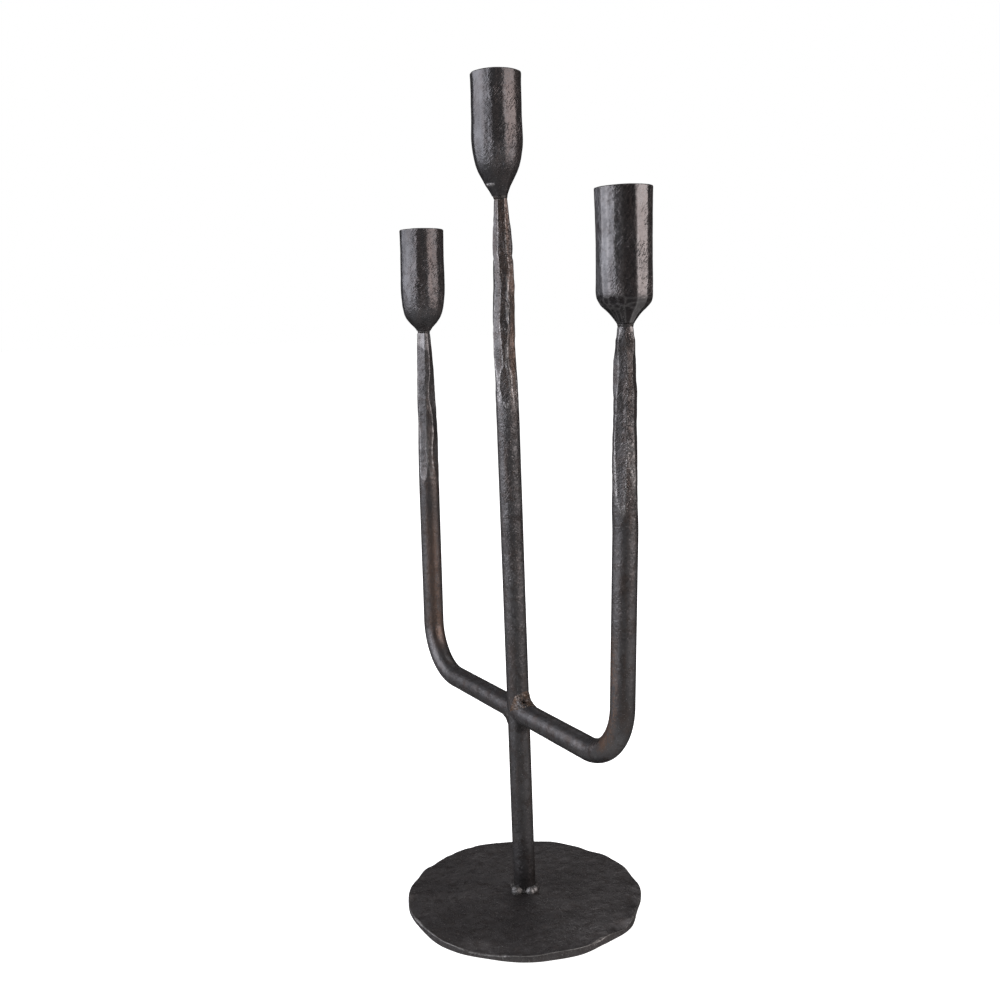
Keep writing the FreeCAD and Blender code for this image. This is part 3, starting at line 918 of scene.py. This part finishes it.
def foot_bead():
    """Low run of weld round the stem's foot, with a few taller drops; those in front get a painted highlight,
    and the bead's front between them a painted shade.
    """
    blobs = []
    for k in range(BEAD_STEPS):
        a = 2 * math.pi * k / BEAD_STEPS
        front = max(0.0, math.cos(a - CAMERA_SIDE + 0.03)) ** 24
        size = (1.35 + 0.2 * math.sin(2.1 * k)) * (1 - 0.45 * front)
        blobs += [(on_foot(a, 6.7, 0.3), size * MM), (on_foot(a + 0.1, 5.9, 1.2), size * 0.8 * MM)]
    bright = []
    for turn_deg, reach, radius, height, shine in BEAD_DROPS:
        centre = on_foot(CAMERA_SIDE + math.radians(turn_deg), reach, height)
        blobs.append((centre, radius * MM))
        bright.append((centre, radius * MM, shine))
    mesh = run_together(blobs, 0.26 * MM)
    co = np.array([v.co for v in mesh.vertices])
    normals = np.array([v.normal for v in mesh.vertices])
    lumps = (noise(co, 1.8 * MM, 15) * 0.07 + noise(co, 0.8 * MM, 16) * 0.03) * MM
    co = co + normals * lumps[:, None]
    mesh.vertices.foreach_set("co", co.astype(np.float32).reshape(-1))
    # painted highlights on the drops in front, carried by the polish mark
    polish = np.zeros(len(co))
    for centre, r, shine in bright:
        near = 1 - ease(r * 0.75, r * 1.15, np.linalg.norm(co - centre, axis=1))
        polish = np.maximum(polish, shine * near)
    # painted shade on the bead's front, toward the camera, carried by the scale mark
    to_camera = (co @ TOWARD) / np.hypot(co[:, 0], co[:, 1])
    scale = ease(0.9, 0.99, to_camera) * (1 - polish)
    marks = {"pits": 0.5, "polish": polish, "scale": scale, "edge": 0.1}
    finish_mesh("foot_weld_bead", mesh, marks, "weld_iron", ["foot_weld"])


# a neck bead's outline: radius and height above the cup's floor ring, mm
NECK_PROFILE = [(3.2, 0.5), (3.6, 0.4), (3.7, 0.0), (3.65, -0.5), (3.55, -1.0), (3.45, -1.4), (3.2, -1.7)]


def neck_bead(name, node, axis, drift):
    """Ground ring between a bar's neck and its cup; drift is its shift to the right in mm."""
    centre = np.array([axis.x, axis.y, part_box(node)[1].z]) + ACROSS * drift * MM
    circle = unit_circle(turns(72))
    rows = []
    for radius, lift in NECK_PROFILE:
        ring = circle * radius * MM
        ring = ring * (1 + 0.03 * noise(ring + lift * MM, 2.2 * MM, 77))[:, None]
        rows.append(ring + centre + lift * MM * UP)
    grid_mesh(name, np.array(rows), {"pits": 0.5, "scale": 0.1}, "weld_iron", [node])


# ------------ the object
straight_bar("lower_stem_bar", foot_high.z - 2 * MM, CROSSING_HEIGHT, "lower_stem")
straight_bar("upper_stem_bar", CROSSING_HEIGHT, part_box("upper_stem")[1].z, "upper_stem")
arm()
cup("centre_cup_swaged", "centre_cup", centre_axis, CENTRE_WIDTHS,
    drift=[(0, -0.1), (5, -0.7), (19, -0.75), (60, -0.8)], ridges=EVEN_RIDGES, cones=[(9, 8.7, 0.52)],
    seed=201, rub_deg=60, scale_top=14.0, flatness=0.42, nick=(6.3, -66, -18))
cup("left_cup_swaged", "left_cup", left_axis, LEFT_WIDTHS,
    drift=[(0, -0.1), (7.5, -0.15), (25.5, 0.2), (58.5, 0.5)], ridges=EVEN_RIDGES, cones=[(5, 8.5, 0.75)],
    seed=301, rub_deg=55, scale_top=9.0, flatness=0.35)
# the right cup gets a painted shade on the flat facing the camera and a painted highlight on the flat to its
# right
cup("right_cup_swaged", "right_cup", right_axis, RIGHT_WIDTHS,
    drift=[(0, 0.85), (6.5, 0.75), (14.5, 0.4), (59.5, 0.35)], ridges=RIGHT_RIDGES,
    cones=[(8.8, 11.2, 0.50), (0, 3.8, 0.85)],
    seed=401, rub_deg=50, scale_top=12.6, flatness=0.85, rim_tilt=0.22,
    dark_flat=(-9, 21.5), bright_flat=(21.5, 48))
foot()
corner_fillet("crossing_weld_top_fillet", "crossing_weld_top", 1,
              [(-82, 0.4, 0.4), (-70, 3.0, 2.4), (-50, 6.3, 6.4), (-25, 6.6, 7.8), (0, 6.8, 8.0),
               (25, 7.2, 8.8), (45, 7.5, 9.5), (60, 6.5, 7.5), (80, 0.4, 0.4)],
              sink=0.16, pit=(-9, 1.6), rub=1.0, seed=5)
corner_fillet("crossing_weld_bottom_fillet", "crossing_weld_bottom", -1,
              [(-85, 0.6, 0.6), (-70, 4.6, 6.0), (-45, 5.0, 6.5), (-10, 5.0, 5.6), (30, 4.8, 4.6),
               (55, 3.0, 3.0), (78, 0.3, 0.3)],
              sink=0.22, pit=(0, 0.0), rub=0.1, seed=9)
foot_bead()
neck_bead("centre_neck_bead", "centre_neck_weld", centre_axis, 0.1)
neck_bead("left_neck_bead", "left_neck_weld", left_axis, -0.1)
neck_bead("right_neck_bead", "right_neck_weld", right_axis, 0.8)

# ------------ stage
FLOOR_HALF = 30.0
FLOOR_HEIGHT = -0.3 * MM
floor_mesh = bpy.data.meshes.new("floor")
square = ((-1, -1), (1, -1), (1, 1), (-1, 1))
floor_corners = [(x * FLOOR_HALF, y * FLOOR_HALF, FLOOR_HEIGHT) for x, y in square]
floor_mesh.from_pydata(floor_corners, [], [(0, 1, 2, 3)])
floor = bpy.data.objects.new("floor", floor_mesh)
bpy.context.scene.collection.objects.link(floor)
paper = Shader("pale_paper")
paper.fill(paper.bsdf, {"Base Color": (0.8, 0.8, 0.8), "Roughness": 0.9,
                        "Emission Color": (1, 1, 1), "Emission Strength": 1.0})
floor_mesh.materials.append(paper.material)
floor.visible_glossy = False
floor.visible_diffuse = False

# the camera sees white; the metal sees a dim room over a pale table, by height from 0 below to 1 above
ROOM = ((0.0, 0.98), (0.28, 0.72), (0.38, 0.42), (0.44, 0.13), (0.49, 0.05), (0.56, 0.04), (0.68, 0.09),
        (1.0, 0.18))
world = bpy.data.worlds.new("studio")
bpy.context.scene.world = world
world.use_nodes = True
nodes, links = world.node_tree.nodes, world.node_tree.links
nodes.clear()
seen = nodes.new("ShaderNodeBackground")
seen.inputs["Color"].default_value = (1, 1, 1, 1)
room = nodes.new("ShaderNodeBackground")
split = nodes.new("ShaderNodeSeparateXYZ")
links.new(nodes.new("ShaderNodeTexCoord").outputs["Generated"], split.inputs[0])
height = nodes.new("ShaderNodeMapRange")
height.inputs["From Min"].default_value = -1.0
links.new(split.outputs["Z"], height.inputs["Value"])
shades = nodes.new("ShaderNodeValToRGB")
stops = shades.color_ramp.elements
stops.remove(stops[1])
for place, shade in ROOM:
    stop = stops[0] if place == 0.0 else stops.new(place)
    stop.color = (shade, shade, shade, 1)
links.new(height.outputs["Result"], shades.inputs["Fac"])
links.new(shades.outputs["Color"], room.inputs["Color"])
mixer = nodes.new("ShaderNodeMixShader")
links.new(nodes.new("ShaderNodeLightPath").outputs["Is Camera Ray"], mixer.inputs["Fac"])
links.new(room.outputs[0], mixer.inputs[1])
links.new(seen.outputs[0], mixer.inputs[2])
links.new(mixer.outputs[0], nodes.new("ShaderNodeOutputWorld").inputs["Surface"])

LIGHT_TARGET = Vector((0, 0, 0.25))


def softbox(name, turn_deg, height, distance, size, power, color):
    """Area light at an angle round the object from the camera, aimed at its middle; size is (wide, tall)."""
    light = bpy.data.lights.new(name, "AREA")
    light.shape = "RECTANGLE"
    light.size, light.size_y = size
    light.energy = power
    light.color = color
    lamp = bpy.data.objects.new(name, light)
    a = CAMERA_SIDE + math.radians(turn_deg)
    lamp.location = (distance * math.cos(a), distance * math.sin(a), height)
    lamp.rotation_euler = (LIGHT_TARGET - lamp.location).to_track_quat("-Z", "Y").to_euler()
    lamp.visible_camera = False
    bpy.context.scene.collection.objects.link(lamp)


softbox("left_softbox", -79, height=0.66, distance=1.5, size=(2.2, 1.3), power=40, color=(0.97, 0.98, 1.04))
softbox("right_softbox", 63, height=0.66, distance=1.5, size=(1.5, 1.3), power=22, color=(1.06, 0.98, 0.96))
softbox("top_softbox", 170, height=2.0, distance=1.2, size=(1.2, 1.2), power=10, color=(1.0, 1.0, 1.0))

# ------------ camera
LENS_IN_FRAMES = 1.15348       # focal length over the frame's width
SENSOR = 36.0
VIEW_TURN = math.radians(60.27)
VIEW_AIM = math.radians(0.70)
VIEW_TILT = math.radians(-8.51)
VIEW_ROLL = math.radians(-1.43)
VIEW_SIDE, VIEW_BACK, VIEW_HEIGHT = -1.11 * MM, -602.10 * MM, 312.56 * MM

camera_data = bpy.data.cameras.new("camera")
camera_data.sensor_width = SENSOR
camera_data.lens = LENS_IN_FRAMES * SENSOR
camera_data.clip_start = 0.01
camera_data.clip_end = 200
camera = bpy.data.objects.new("camera", camera_data)
stand = Vector((math.cos(VIEW_TURN) * VIEW_SIDE - math.sin(VIEW_TURN) * VIEW_BACK,
                math.sin(VIEW_TURN) * VIEW_SIDE + math.cos(VIEW_TURN) * VIEW_BACK,
                VIEW_HEIGHT))
camera.matrix_world = (Matrix.Translation(stand)
                       @ Matrix.Rotation(VIEW_TURN + VIEW_AIM, 4, "Z")
                       @ Matrix.Rotation(math.pi / 2 + VIEW_TILT, 4, "X")
                       @ Matrix.Rotation(VIEW_ROLL, 4, "Z"))
bpy.context.scene.collection.objects.link(camera)
bpy.context.scene.camera = camera
bpy.context.scene.view_settings.view_transform = "Standard"
